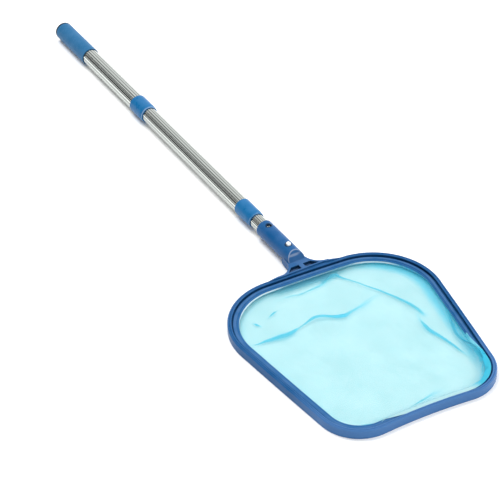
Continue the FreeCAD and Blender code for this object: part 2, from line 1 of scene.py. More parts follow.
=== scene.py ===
"""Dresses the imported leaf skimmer: moulded blue plastics, fluted aluminium, a foam grip and a slack net.

Sizes are in metres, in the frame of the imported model: +Y runs up the pole to the grip, +Z is up.
"""

import math

import bpy
import numpy as np
from bpy.props import FloatProperty, FloatVectorProperty, IntProperty
from mathutils import Matrix, Vector, kdtree, noise
from mathutils.geometry import delaunay_2d_cdt


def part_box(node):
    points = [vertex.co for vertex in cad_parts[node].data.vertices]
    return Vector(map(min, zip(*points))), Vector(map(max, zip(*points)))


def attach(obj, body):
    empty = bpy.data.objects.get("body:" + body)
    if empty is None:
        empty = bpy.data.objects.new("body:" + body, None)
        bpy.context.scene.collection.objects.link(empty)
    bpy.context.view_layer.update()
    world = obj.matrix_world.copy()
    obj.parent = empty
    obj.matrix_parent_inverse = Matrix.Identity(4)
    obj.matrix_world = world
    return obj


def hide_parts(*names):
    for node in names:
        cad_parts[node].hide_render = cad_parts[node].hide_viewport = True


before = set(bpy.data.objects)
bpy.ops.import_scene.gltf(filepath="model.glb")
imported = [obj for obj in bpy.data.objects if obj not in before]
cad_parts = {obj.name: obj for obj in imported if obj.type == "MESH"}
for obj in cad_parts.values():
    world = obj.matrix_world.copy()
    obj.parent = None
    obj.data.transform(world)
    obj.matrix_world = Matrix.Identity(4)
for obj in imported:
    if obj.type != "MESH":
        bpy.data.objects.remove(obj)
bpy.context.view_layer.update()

bl_info = {
    "name": "Leaf skimmer",
    "version": (1, 0, 0),
    "blender": (4, 5, 0),
    "location": "View3D > Sidebar > Leaf skimmer",
    "description": "Finishes a leaf skimmer net on its telescopic pole",
    "category": "Object",
}

MM = 0.001
HEAD_BODY = "head_pole"

# Places on the head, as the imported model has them: heights above the ground, and distances from the button.
POLE_HEIGHT = 15.5 * MM
SOCKET_RADIUS = 13.5 * MM
BUTTON_HOLE = 4.1 * MM
SPARE_HOLE = 54.3 * MM
NECK_TOP = 15.2 * MM
NECK_BOTTOM = 2.0 * MM
NECK_REACH = 26.0 * MM
NECK_HALF_WIDTH = 14.6 * MM
RING_EDGE = -43.2 * MM
SLOPE_FOOT = -24.7 * MM
SLOPE_LEAN = 0.688
RIM_TOP = 13.2 * MM
BAND_WIDTH = 5.4 * MM
GROOVE = 4.2 * MM
POCKET_FLOOR = 9.7 * MM
POCKET_LENGTH = 10.2 * MM
POCKET_REACH = 17.5 * MM
POCKET_FLARE = 0.97

# The camera's film, the point on the floor that it looks at, and where the light and the dark gap are.
SENSOR_WIDTH = 36
AIM = (-28.1 * MM, -137.9 * MM, 0)
FLOOR_REACH = 6
KEY_FROM = (-0.12, 0.52, 0.85)
KEY_SPREAD = math.radians(26)
GAP_AT = (-0.55, 0.69, 0.46)


# Sizes and colours that a user would change.

TINT = {"subtype": "COLOR", "size": 3, "min": 0, "max": 1}


class PlasticLook(bpy.types.PropertyGroup):
    head: FloatVectorProperty(
        name="Head", description="Ring, neck and socket", default=(0.006, 0.080, 0.232), **TINT)
    clamp: FloatVectorProperty(
        name="Clamp ring", description="Band that holds the net", default=(0.007, 0.090, 0.252), **TINT)
    collar: FloatVectorProperty(
        name="Collars", description="Collars between the pole's sections",
        default=(0.008, 0.126, 0.310), **TINT)
    grip: FloatVectorProperty(
        name="Grip", description="Foam sleeve", default=(0.008, 0.114, 0.262), **TINT)
    mottle_size: FloatProperty(
        name="Mottle", description="Size of the patches where the plastic's colour drifts",
        unit="LENGTH", default=0.018, min=0.001)


class PoleLook(bpy.types.PropertyGroup):
    metal: FloatVectorProperty(
        name="Tube metal", description="Drawn aluminium", default=(0.64, 0.68, 0.65), **TINT)
    flute_depth: FloatProperty(
        name="Flute depth", description="Depth over which a flute gets darker",
        unit="LENGTH", default=0.00035, min=0.00005)
    roughness: FloatProperty(
        name="Roughness", description="Roughness of the drawn metal", subtype="FACTOR",
        default=0.06, min=0.02, max=1)


class NetLook(bpy.types.PropertyGroup):
    thread: FloatVectorProperty(
        name="Thread", description="Mesh thread", default=(0.22, 0.585, 0.63), **TINT)
    pitch: FloatProperty(
        name="Mesh pitch", description="Distance from thread to thread",
        unit="LENGTH", default=0.0011, min=0.0004)
    thread_width: FloatProperty(
        name="Thread width", description="Share of the pitch that a thread covers",
        subtype="FACTOR", default=0.42, min=0.05, max=0.95)
    spacing: FloatProperty(
        name="Facet", description="Distance between the cloth's points",
        unit="LENGTH", default=0.0026, min=0.001)
    slope: FloatProperty(
        name="Slope", description="Width over which the net comes down from the ring",
        unit="LENGTH", default=0.020, min=0.005)
    floor: FloatProperty(
        name="Floor", description="Height of the slack net above the ground",
        unit="LENGTH", default=0.0012, min=0.0003)
    pleat: FloatVectorProperty(
        name="Pleat", description="The mesh where a pleat lays it in three", default=(0.05, 0.66, 0.86), **TINT)
    pleat_height: FloatProperty(
        name="Pleat height", description="Tallest pleat of the slack net",
        unit="LENGTH", default=0.0028, min=0.0005)
    lap: FloatVectorProperty(
        name="Lap", description="The doubled mesh that laps over the clamp ring in front",
        default=(0.72, 0.95, 0.90), **TINT)
    # Painted shadow: the colour that the mesh takes where the neck and the strong folds shade it.
    deep: FloatVectorProperty(
        name="Deep", description="The mesh bunched up under the neck", default=(0.06, 0.32, 0.46), **TINT)


class HemLook(bpy.types.PropertyGroup):
    tape: FloatVectorProperty(
        name="Tape", description="Hem along the ring", default=(0.74, 0.86, 0.93), **TINT)
    # Painted shade: the colour of the hem on the right.
    shaded_tape: FloatVectorProperty(
        name="Stained tape", description="Hem on the right, where water has dyed it",
        default=(0.08, 0.50, 0.74), **TINT)
    height: FloatProperty(
        name="Height", description="Height of the hem below the lip", unit="LENGTH",
        default=0.0042, min=0.0005)
    thickness: FloatProperty(
        name="Thickness", description="Thickness of the doubled hem", unit="LENGTH",
        default=0.0007, min=0.0002)
    lip: FloatProperty(
        name="Lip", description="How far the clamp ring's lip reaches over the net", unit="LENGTH",
        default=0.0034, min=0.001)
    stitches: IntProperty(
        name="Stitches", description="Stitches round the hem", default=260, min=10)


class StageLook(bpy.types.PropertyGroup):
    distance: FloatProperty(
        name="Distance", description="Camera to the point on the floor that it looks at",
        unit="LENGTH", default=2.4318, min=0.1)
    azimuth: FloatProperty(
        name="Azimuth", description="Camera's turn round the upright axis",
        subtype="ANGLE", default=math.radians(-29.76))
    elevation: FloatProperty(
        name="Elevation", description="Camera above the horizon",
        subtype="ANGLE", default=math.radians(36.96))
    roll: FloatProperty(
        name="Roll", description="Camera's turn round its own line of sight",
        subtype="ANGLE", default=math.radians(-1.016))
    lens: FloatProperty(
        name="Lens", description="Focal length in millimetres on a 36 mm sensor", default=120, min=10)
    tent: FloatProperty(
        name="Tent", description="Brightness of the white tent round the object", default=1.3, min=0)
    back: FloatProperty(
        name="Back wall", description="Brightness of the wall that the tubes mirror", default=0.95, min=0)
    gap: FloatProperty(
        name="Gap", description="Brightness of the dark gap in that wall", default=0.05, min=0)
    key: FloatProperty(
        name="Key light", description="Strength of the soft light from behind", default=2.0, min=0)


LOOKS = {"plastic": PlasticLook, "pole": PoleLook, "net": NetLook, "hem": HemLook, "stage": StageLook}


def look(name):
    return getattr(bpy.context.scene, "skimmer_" + name)


# Shader nodes.

class Wire:
    """A socket or a number in a shader expression; the operators add Math nodes."""

    def __init__(self, finish, socket):
        self.finish = finish
        self.socket = socket

    def maths(self, operation, *values):
        return self.finish.add("ShaderNodeMath", {"operation": operation}, values)

    def __add__(self, other):
        return self.maths("ADD", self, other)

    def __sub__(self, other):
        return self.maths("SUBTRACT", self, other)

    def __rsub__(self, other):
        return self.maths("SUBTRACT", other, self)

    def __mul__(self, other):
        return self.maths("MULTIPLY", self, other)

    def __truediv__(self, other):
        return self.maths("DIVIDE", self, other)

    def __pow__(self, other):
        return self.maths("POWER", self, other)

    __radd__ = __add__
    __rmul__ = __mul__


class Finish:
    """The shader nodes of a material or a world, under construction."""

    def __init__(self, owner):
        owner.use_nodes = True
        self.owner = owner
        self.tree = owner.node_tree
        self.tree.nodes.clear()

    def add(self, kind, settings=None, inputs=None, output=0):
        """Adds one node: its settings first, then the values or links of its sockets."""
        node = self.tree.nodes.new(kind)
        for key, value in (settings or {}).items():
            setattr(node, key, value)
        named = inputs.items() if isinstance(inputs, dict) else enumerate(inputs or ())
        for key, value in named:
            if isinstance(value, Wire):
                self.tree.links.new(value.socket, node.inputs[key])
            else:
                node.inputs[key].default_value = value
        return Wire(self, node.outputs[output]) if len(node.outputs) else None

    def place(self):
        """The piece's own coordinates, in metres."""
        return self.add("ShaderNodeTexCoord", output="Object")

    def split(self, vector):
        node = self.add("ShaderNodeSeparateXYZ", inputs=[vector]).socket.node
        return [Wire(self, socket) for socket in node.outputs]

    def stretch(self, vector, scale, shift=(0, 0, 0)):
        return self.add("ShaderNodeMapping", inputs={"Vector": vector, "Scale": scale, "Location": shift})

    def cloud(self, vector, scale, detail=3.0, roughness=0.5):
        sockets = {"Vector": vector, "Scale": scale, "Detail": detail, "Roughness": roughness}
        return self.add("ShaderNodeTexNoise", {"noise_dimensions": "3D"}, sockets)

    def between(self, value, low, high, start=0.0, end=1.0):
        """Maps a value from one span to another, smoothly and held at its ends."""
        sockets = {"Value": value, "From Min": low, "From Max": high, "To Min": start, "To Max": end}
        return self.add("ShaderNodeMapRange", {"interpolation_type": "SMOOTHSTEP"}, sockets)

    def window(self, value, rise, fall):
        """One where a value is between two edges, each given as its span, and nought elsewhere."""
        return self.between(value, *rise) * self.between(value, *fall)

    def mix(self, share, first, second):
        first, second = (shade if isinstance(shade, Wire) else (*shade, 1) for shade in (first, second))
        node = self.add("ShaderNodeMix", {"data_type": "RGBA"}).socket.node
        for key, value in (("Factor", share), ("A", first), ("B", second)):
            socket = next(s for s in node.inputs if s.name == key and s.enabled)
            if isinstance(value, Wire):
                self.tree.links.new(value.socket, socket)
            else:
                socket.default_value = value
        return Wire(self, next(s for s in node.outputs if s.enabled))

    def bump(self, height, strength, distance):
        return self.add("ShaderNodeBump", inputs={"Height": height, "Strength": strength, "Distance": distance})

    def close(self, shader, kind="Material"):
        self.add("ShaderNodeOutput" + kind, inputs={"Surface": shader})
        return self.owner


def new_finish(name):
    return Finish(bpy.data.materials.new(name))


def shade(colour, amount):
    """A colour made lighter by a positive share or darker by a negative one."""
    target = 1.0 if amount > 0 else 0.0
    return tuple(part + (target - part) * abs(amount) for part in colour)


def moulded(name, colour, crest=None, gloss=0.34, painted_light=None):
    """Moulded plastic: drifting colour, fine grain, scuffed patches and, if given, a painted highlight under a
    crest and painted light and shade from a callback.
    """
    finish = new_finish(name)
    place = finish.place()
    mottle = finish.cloud(place, 1 / look("plastic").mottle_size, 4.0, 0.6)
    grain = finish.cloud(place, 1400, 2.0)
    scuff = finish.between(finish.cloud(place, 130, 6.0, 0.7), 0.62, 0.74)
    base = finish.mix(finish.between(mottle, 0.3, 0.7), shade(colour, -0.07), shade(colour, 0.01))
    base = finish.mix(scuff * 0.2, base, shade(colour, 0.06))
    if crest:
        height = finish.split(place)[2]
        below, top = crest
        # Painted highlight: a lighter band, in patches, just under the crest, where the top edge catches the
        # light.
        highlight_band = finish.window(height, (below, top), (top, 2 * top - below, 1.0, 0.0))
        base = finish.mix(highlight_band * finish.between(mottle, 0.25, 0.6, 0.1, 0.3), base, shade(colour, 0.08))
    # The callback paints light and shade onto the colour.
    if painted_light:
        base = painted_light(finish, place, colour, base)
    roughness = finish.between(mottle, 0.25, 0.75, gloss - 0.04, gloss + 0.05) + scuff * 0.1
    shader = finish.add("ShaderNodeBsdfPrincipled", inputs={
        "Base Color": base, "Roughness": roughness, "Specular IOR Level": 0.16,
        "Normal": finish.bump(grain * 0.6 + mottle, 0.1, 0.0003)})
    return finish.close(shader)


def head_painted_light(finish, place, colour, base):
    """Painted shade in the gaps round the button and spare hole and on the pockets' walls, painted light on the
    pocket floors and the front wall, and painted highlights on the socket's sloped end.
    """
    across, along, up = finish.split(place)
    button = button_place()
    # Painted shade: a dark ring round the button and the spare hole, where their gaps lie in shade.
    for station in (button.y, button.y + SPARE_HOLE):
        away = ((across - button.x) ** 2 + (along - station) ** 2) ** 0.5
        dirt_and_shade = finish.between(away, BUTTON_HOLE + 2.0 * MM, BUTTON_HOLE + 0.9 * MM)
        base = finish.mix(dirt_and_shade * 0.75, base, shade(colour, -0.8))
    edge = button.y + RING_EDGE
    off_axis = finish.add("ShaderNodeMath", {"operation": "ABSOLUTE"}, [across - button.x])
    side = POCKET_REACH + (edge + POCKET_LENGTH - along) * POCKET_FLARE
    pocket = (finish.between(off_axis, side + 0.5 * MM, side) * finish.between(along, edge - MM, edge)
              * finish.between(along, edge + POCKET_LENGTH + 2 * MM, edge + POCKET_LENGTH + MM))
    sunk = finish.between(up, NECK_TOP - 0.2 * MM, NECK_TOP - 0.8 * MM)
    bottom = finish.between(up, POCKET_FLOOR + 0.5 * MM, POCKET_FLOOR + 0.1 * MM)
    # Painted shade on the pockets' walls, and painted light on their floors.
    base = finish.mix(pocket * sunk * (0.75 - bottom * 0.75), base, shade(colour, -0.85))
    base = finish.mix(pocket * bottom, base, shade(colour, 0.07))
    # Painted light: the ring's front wall, which faces away from the key light, is made paler.
    front = finish.between(along, edge - 200 * MM, edge - 280 * MM)
    base = finish.mix(front * 0.6, base, shade([part * 1.5 for part in colour], 0.06))
    beyond = ((along - (button.y + SLOPE_FOOT)) - (up - NECK_TOP) * SLOPE_LEAN) / math.hypot(1, SLOPE_LEAN)
    from_axis = ((across - button.x) ** 2 + (up - POLE_HEIGHT) ** 2) ** 0.5
    # Painted highlight along the rim of the socket's sloped end.
    rim_highlight = (finish.window(beyond, (1.1 * MM, 0.7 * MM), (-0.3 * MM, 0.0))
            * finish.between(from_axis, SOCKET_RADIUS - 1.1 * MM, SOCKET_RADIUS - 0.5 * MM)
            * finish.between(up, NECK_TOP, NECK_TOP + 1.5 * MM))
    base = finish.mix(rim_highlight * 0.6, base, shade(colour, 0.28))
    # Painted highlight: a wispy light line across the face of the sloped end.
    slope_highlight = (finish.window(beyond, (0.3 * MM, 0.1 * MM), (-0.3 * MM, -0.1 * MM))
              * finish.window(up, (NECK_TOP + 5.5 * MM, NECK_TOP + 7.5 * MM),
                              (NECK_TOP + 10.5 * MM, NECK_TOP + 8.5 * MM)))
    wispy = finish.between(finish.cloud(finish.stretch(place, (0.5, 1, 1)), 150, 3.0), 0.35, 0.6)
    return finish.mix(slope_highlight * wispy * 0.4, base, shade(colour, 0.35))


def collar_painted_light(finish, place, colour, base):
    """A painted highlight, in patches, round each collar's nose."""
    along = finish.split(place)[1]
    patches = finish.between(finish.cloud(place, 90, 3.0), 0.35, 0.6)
    for node in ("middle_collar", "outer_collar"):
        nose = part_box(node)[0].y
        # Painted highlight on the edge of the nose.
        highlight_band = finish.window(along, (nose + 3.0 * MM, nose + 1.8 * MM), (nose, nose + 0.6 * MM))
        base = finish.mix(highlight_band * patches * 0.5, base, shade(colour, 0.3))
    return base


def fluted_metal(name, node):
    """Drawn aluminium: lengthwise streaks, fine scratches, and painted shade at the bottom of each flute."""
    pole = look("pole")
    low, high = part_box(node)
    axis = (low + high) / 2
    radius = (high.x - low.x) / 2
    finish = new_finish(name)
    centred = finish.stretch(finish.place(), (1, 1, 1), (-axis.x, 0, -axis.z))
    across, along, up = finish.split(centred)
    distance = (across * across + up * up) ** 0.5
    # Painted shade and dark reflection towards the bottom of each flute.
    flute_shade = finish.between(distance, radius - pole.flute_depth, radius - pole.flute_depth * 0.2, 1.0, 0.0)
    streaks = finish.cloud(finish.stretch(centred, (1, 0.012, 1)), 1500, 3.0, 0.65)
    cloudy = finish.cloud(finish.stretch(centred, (1, 0.25, 1)), 70, 4.0, 0.6)
    scratch = finish.between(finish.cloud(finish.stretch(centred, (1, 0.03, 1)), 700, 5.0, 0.8), 0.68, 0.76)
    base = finish.mix(finish.between(streaks, 0.35, 0.7), shade(pole.metal, -0.1), pole.metal)
    base = finish.mix(flute_shade * 0.8, base, shade(pole.metal, -0.65))
    base = finish.mix(scratch * 0.3, base, shade(pole.metal, 0.6))
    roughness = finish.between(cloudy, 0.3, 0.7, pole.roughness - 0.02, pole.roughness + 0.05)
    shader = finish.add("ShaderNodeBsdfPrincipled", inputs={
        "Base Color": base, "Metallic": 1.0, "Roughness": roughness + scratch * 0.12,
        "Normal": finish.bump(streaks, 0.05, 0.00003)})
    return finish.close(shader)


def foam(name, colour, ends):
    """Closed-cell foam: fine pores, a dull face, slightly paler patches of wear, painted shade on the near end and
    a dark band at the far end.
    """
    finish = new_finish(name)
    place = finish.place()
    along = finish.split(place)[1]
    pores = finish.add("ShaderNodeTexVoronoi", {"feature": "F1"}, {"Vector": place, "Scale": 1100}, "Distance")
    drift = finish.cloud(place, 60, 5.0, 0.65)
    fine = finish.cloud(place, 520, 3.0, 0.6)
    base = finish.mix(finish.between(drift, 0.3, 0.7), shade(colour, -0.08), shade(colour, 0.02))
    base = finish.mix(finish.between(pores, 0.1, 0.45, 0.35, 0.0), base, shade(colour, -0.35))
    base = finish.mix(finish.between(fine, 0.55, 0.75) * 0.3, base, shade(colour, 0.1))
    near, far = ends
    # Painted shade on the near end's face, and a darker band over the last 3 mm of the far end.
    cut = (finish.between(along, near + 0.8 * MM, near + 0.3 * MM)
           + finish.between(along, far - 3.4 * MM, far - 3.0 * MM))
    base = finish.mix(cut * 0.85, base, shade(colour, -0.9))
    shader = finish.add("ShaderNodeBsdfPrincipled", inputs={
        "Base Color": base, "Roughness": finish.between(drift, 0.3, 0.7, 0.55, 0.7), "Specular IOR Level": 0.12,
        "Sheen Weight": 0.2, "Sheen Roughness": 0.35,
        "Normal": finish.bump(pores + fine * 0.6, 0.3, 0.0004)})
    return finish.close(shader)


def clip_painted_light(finish, place, colour, base):
    """Painted shade round the edge of the clip's buttons."""
    across, along, _ = finish.split(place)
    button = button_place()
    away = ((across - button.x) ** 2 + (along - (button.y - MM)) ** 2) ** 0.5
    # Painted shade: a dark ring at the button's edge, in the gap round it.
    edge = finish.window(away, (3.0 * MM, 3.5 * MM), (5.6 * MM, 5.2 * MM))
    return finish.mix(edge * 0.85, base, (0.02, 0.04, 0.07))


def plain_moulding(name, colour, gloss, dirt_and_shade=0.15, metallic=0.0, painted_light=None):
    """Small hidden parts: an even colour with some grime and fine tooling lines."""
    finish = new_finish(name)
    place = finish.place()
    tooling = finish.cloud(finish.stretch(place, (1, 0.2, 1)), 900, 3.0)
    patches = finish.cloud(place, 240, 4.0, 0.6)
    base = finish.mix(finish.between(patches, 0.35, 0.75) * dirt_and_shade, colour, shade(colour, -0.5))
    # The callback paints light and shade onto the colour.
    if painted_light:
        base = painted_light(finish, place, colour, base)
    shader = finish.add("ShaderNodeBsdfPrincipled", inputs={
        "Base Color": base, "Metallic": metallic,
        "Roughness": finish.between(patches, 0.3, 0.7, gloss, gloss + 0.12),
        "Normal": finish.bump(tooling, 0.15, 0.0001)})
    return finish.close(shader)


def net_mesh(name):
    """Knitted mesh: crossing threads with open holes between them, thicker where a pleat doubles it."""
    net = look("net")
    finish = new_finish(name)
    flat = finish.add("ShaderNodeUVMap", {"uv_map": FLAT_MAP})
    pleat, deep, lap = (finish.add("ShaderNodeAttribute", {"attribute_name": share}, output="Fac")
                        for share in (PLEAT_SHARE, SHADOW_SHARE, LAP_SHARE))
    u, v, _ = finish.split(flat)
    threads = []
    for value in (u, v):
        cell = finish.add("ShaderNodeMath", {"operation": "FRACT"}, [value * (FLAT_UNIT / net.pitch)])
        from_middle = finish.add("ShaderNodeMath", {"operation": "ABSOLUTE"}, [cell - 0.5])
        threads.append(finish.between(from_middle, net.thread_width / 2, net.thread_width / 2 - 0.08, 0.0, 1.0))
    cover = threads[0] + threads[1] - threads[0] * threads[1]
    # Pleats and the painted shadow make the mesh more opaque.
    cover = cover + (1.0 - cover) * (pleat * 0.5 + deep * 0.9) * (1.0 - lap) + (1.0 - cover) * lap
    drift = finish.cloud(flat, 9, 4.0, 0.6)
    colour = finish.mix(finish.between(drift, 0.3, 0.7), shade(net.thread, -0.06), shade(net.thread, 0.08))
    colour = finish.mix(lap, colour, net.lap)
    # The pleat colour, laid as well as painted shade where the net climbs to the ring.
    colour = finish.mix(pleat, colour, net.pleat)
    # Painted shadow: the mesh darkens to a dark teal under the neck and along the strong folds.
    colour = finish.mix(deep, colour, net.deep)
    cloth = finish.add("ShaderNodeBsdfPrincipled", inputs={
        "Base Color": colour, "Roughness": 0.62, "Sheen Weight": 0.15,
        "Normal": finish.bump(cover, 0.4, 0.0003)})
    glow = finish.add("ShaderNodeBsdfTranslucent", inputs={"Color": colour})
    body = finish.add("ShaderNodeMixShader", inputs=[0.45, cloth, glow])
    clear = finish.add("ShaderNodeBsdfTransparent")
    return finish.close(finish.add("ShaderNodeMixShader", inputs=[cover, clear, body]))


def hem_tape(name):
    """Hem tape: pale, with painted shade on the right and painted shadow under the neck."""
    hem = look("hem")
    finish = new_finish(name)
    place = finish.place()
    across, along, _ = finish.split(place)
    button = button_place()
    weave = finish.cloud(finish.stretch(place, (1, 1, 0.3)), 1500, 2.0)
    patches = finish.cloud(place, 120, 4.0, 0.6)
    # Painted shade: the hem turns a darker cyan on the right.
    right_shade = (finish.between(across, button.x + 60 * MM, button.x + 95 * MM)
            * finish.between(along, button.y - 85 * MM, button.y - 105 * MM)
            * finish.between(patches, 0.2, 0.5, 0.7, 1.0))
    # Painted shadow on the hem under the neck.
    neck_shadow = (finish.window(across, (button.x - 58 * MM, button.x - 40 * MM),
                         (button.x + 84 * MM, button.x + 60 * MM))
           * finish.between(along, button.y - 110 * MM, button.y - 90 * MM))
    base = finish.mix(finish.between(patches, 0.35, 0.75) * 0.3, tuple(hem.tape), shade(hem.tape, -0.2))
    base = finish.mix(right_shade, base, hem.shaded_tape)
    base = finish.mix(neck_shadow * 0.8, base, look("net").deep)
    shader = finish.add("ShaderNodeBsdfPrincipled", inputs={
        "Base Color": base, "Roughness": finish.between(patches, 0.3, 0.7, 0.6, 0.75),
        "Normal": finish.bump(weave, 0.3, 0.0002)})
    return finish.close(shader)


def assign(piece, material):
    piece.data.materials.clear()
    piece.data.materials.append(material)


def linked(name, data):
    """A new object at the origin, in the scene."""
    piece = bpy.data.objects.new(name, data)
    bpy.context.scene.collection.objects.link(piece)
    return piece


# Reading the frame.

def button_place():
    low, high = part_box("clip_button_top")
    return (low + high) / 2


def from_button(points):
    """How far points lie from the button, across the pole and along it."""
    button = button_place()
    return points[:, 0] - button.x, points[:, 1] - button.y


def flat_runs(node, height, tolerance=2e-5):
    """The closed edges of the flat face that a CAD node has at a height, each as a run of (x, y) points."""
    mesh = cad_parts[node].data
    keys = [tuple(round(part, 5) for part in vertex.co) for vertex in mesh.vertices]
    following = {}
    edges = {}
    for face in mesh.polygons:
        if all(abs(mesh.vertices[i].co.z - height) < tolerance for i in face.vertices):
            corners = [keys[i] for i in face.vertices]
            for start, end in zip(corners, corners[1:] + corners[:1]):
                edges[(start, end)] = edges.get((start, end), 0) + 1
    for start, end in edges:
        if (end, start) not in edges:
            following[start] = end
    runs = []
    while following:
        start, spot = following.popitem()
        run = [start]
        while spot != start:
            run.append(spot)
            spot = following.pop(spot)
        runs.append(np.array([point[:2] for point in run]))
    return runs


def clipped(values):
    """Values kept between nought and one."""
    return np.clip(values, 0, 1)


def looped(run):
    """A closed run with its first point again at its end."""
    return np.vstack([run, run[:1]])


def evenly(run, spacing, closed=True):
    """Points at an even spacing along a run of straight pieces."""
    path = looped(run) if closed else np.asarray(run)
    steps = np.linalg.norm(np.diff(path, axis=0), axis=1)
    along = np.concatenate([[0], np.cumsum(steps)])
    count = max(2, round(along[-1] / spacing))
    stations = np.linspace(0, along[-1], count, endpoint=not closed)
    return np.column_stack([np.interp(stations, along, path[:, axis]) for axis in range(path.shape[1])])


def clamp_edge(spacing):
    """The inner edge of the clamp ring's underside."""
    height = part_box("net_clamp_ring")[0].z
    inner = min(flat_runs("net_clamp_ring", height), key=lambda run: np.ptp(run[:, 0]))
    return evenly(inner, spacing)


def left_of(ahead):
    """Unit vectors to the left of some directions."""
    ahead = ahead / np.linalg.norm(ahead, axis=1)[:, None]
    return np.column_stack([-ahead[:, 1], ahead[:, 0]])


def front_share(across, along):
    """How far a place, given from the button, belongs to the front, where the net laps over the clamp ring."""
    return clipped((across + 100 * MM) / (50 * MM)) * clipped((-250 * MM - along) / (65 * MM))


def inwards(run, distance):
    """A closed run moved towards its inside."""
    side = left_of(np.roll(run, -1, axis=0) - np.roll(run, 1, axis=0))
    middle = run.mean(axis=0)
    sign = np.sign(np.sum((middle - run) * side))
    return run + side * sign * distance


def smooth_run(points, spacing):
    """An open run through given points, rounded by a spline, at an even spacing."""
    points = np.array(points, float)
    padded = np.vstack([2 * points[0] - points[1], points, 2 * points[-1] - points[-2]])
    fine = []
    for a, b, c, d in zip(padded, padded[1:], padded[2:], padded[3:]):
        for t in np.linspace(0, 1, 24, endpoint=False):
            fine.append(0.5 * (2 * b + (c - a) * t + (2 * a - 5 * b + 4 * c - d) * t ** 2
                               + (3 * b - a - 3 * c + d) * t ** 3))
    fine.append(points[-1])
    return evenly(np.array(fine), spacing, closed=False)


# The net.

FLAT_MAP = "flat_cut"
FLAT_UNIT = 0.35
PLEAT_SHARE = "pleat"
# The share of painted shadow on the net.
SHADOW_SHARE = "deep"
LAP_SHARE = "lap"
# A pleat's reach in its half widths, how hard it draws the cloth in, and its height in its reach.
FOLD_REACH = 2.0
FOLD_PULL = 2.6
FOLD_RISE = 0.9
# How far the cloth goes under the clamp ring. In front it laps over it: its width there and how much less it is
# at the right corner, in millimetres, its rise for its width, and its rows of points outside the ring's edge.
TUCK = 3 * MM
LAP_WIDTH = 7.2
LAP_NARROWING = 2.5
LAP_RISE = 0.28
LAP_ROWS = (1.6 * MM, 3.4 * MM, 5.4 * MM)
# How sharply the cloth comes down from the ring.
SAG = 2.2

# Crests of the pleats, from the button: millimetres across and along the pole, half the pleat's width, strength.
PLEATS = [
    [(-72, -75, 0.5, 0.05), (-57, -74, 0.6, 0.35), (-43, -75, 0.8, 0.5), (-29, -79, 0.8, 0.7),
     (-15, -78, 0.9, 0.7), (-3, -77, 1.3, 0.6), (8, -76, 2.0, 0.5), (20, -71, 2.6, 0.7), (30, -68, 3.0, 0.9),
     (37, -69, 2.3, 0.9), (43, -79, 1.0, 0.9), (53, -95, 0.8, 0.8), (64, -118, 0.9, 0.9), (72, -131, 1.0, 0.9),
     (81, -152, 1.2, 0.9), (89, -173, 1.6, 0.9), (93, -190, 2.1, 0.8), (94, -204, 2.3, 0.5), (94, -211, 1.8, 0.1)],
    [(86, -198, 0.6, 0.05), (83, -211, 1.2, 0.4), (81, -224, 2.0, 0.8), (81, -239, 2.3, 0.9), (86, -258, 1.7, 0.9),
     (90, -278, 1.3, 0.9), (92, -293, 1.0, 0.8), (95, -310, 0.6, 0.2)],
    [(-143, -138, 0.5, 0.3), (-134, -141, 0.8, 0.8), (-124, -142, 1.5, 0.9), (-112, -144, 2.5, 0.9),
     (-100, -145, 3.1, 0.9), (-88, -146, 3.0, 0.9), (-76, -143, 1.6, 0.9), (-66, -140, 0.8, 0.8),
     (-53, -137, 1.1, 0.9), (-42, -135, 1.7, 0.9), (-30, -137, 2.0, 0.9), (-20, -143, 1.7, 0.95),
     (-12, -148, 2.2, 1.0), (-2, -151, 2.5, 1.0), (9, -149, 2.0, 0.8), (22, -147, 2.0, 0.6),
     (34, -145, 2.2, 0.5), (51, -139, 1.8, 0.3), (65, -135, 1.1, 0.1)],
    [(138, -173, 0.9, 0.1), (131, -193, 1.1, 0.9), (124, -219, 1.1, 1.2), (114, -244, 1.2, 1.3),
     (107, -264, 1.3, 1.3), (106, -281, 1.3, 1.2), (107, -297, 1.4, 1.2), (106, -313, 1.5, 1.0),
     (101, -328, 1.5, 0.8), (93, -342, 1.5, 0.2)],
    [(135, -190, 0.9, 0.1), (128, -216, 1.0, 0.8), (120, -249, 1.0, 1.1), (114, -279, 1.1, 1.2),
     (110, -303, 1.3, 1.1), (107, -321, 1.7, 0.6)],
    [(-40, -357, 0.9, 0.1), (-20, -352, 1.4, 0.5), (-5, -349, 1.6, 0.5), (12, -346, 1.9, 0.4),
     (24, -345, 1.7, 0.1)],
    [(-96, -102, 0.6, 0.2), (-84, -97, 0.9, 1.0), (-73, -94, 0.6, 0.2)],
    [(-118, -97, 0.6, 0.2), (-115, -105, 1.0, 1.0), (-110, -112, 0.6, 0.2)],
    [(-105, -347, 0.8, 0.3), (-95, -351, 0.8, 0.6), (-86, -356, 0.8, 0.2)],
    [(108, -298, 1.2, 0.3), (106, -314, 2.2, 1.0), (102, -329, 2.6, 1.25), (96, -342, 2.6, 1.3),
     (88, -352, 2.4, 1.15), (77, -360, 2.2, 0.8), (67, -364, 1.6, 0.1)],
]


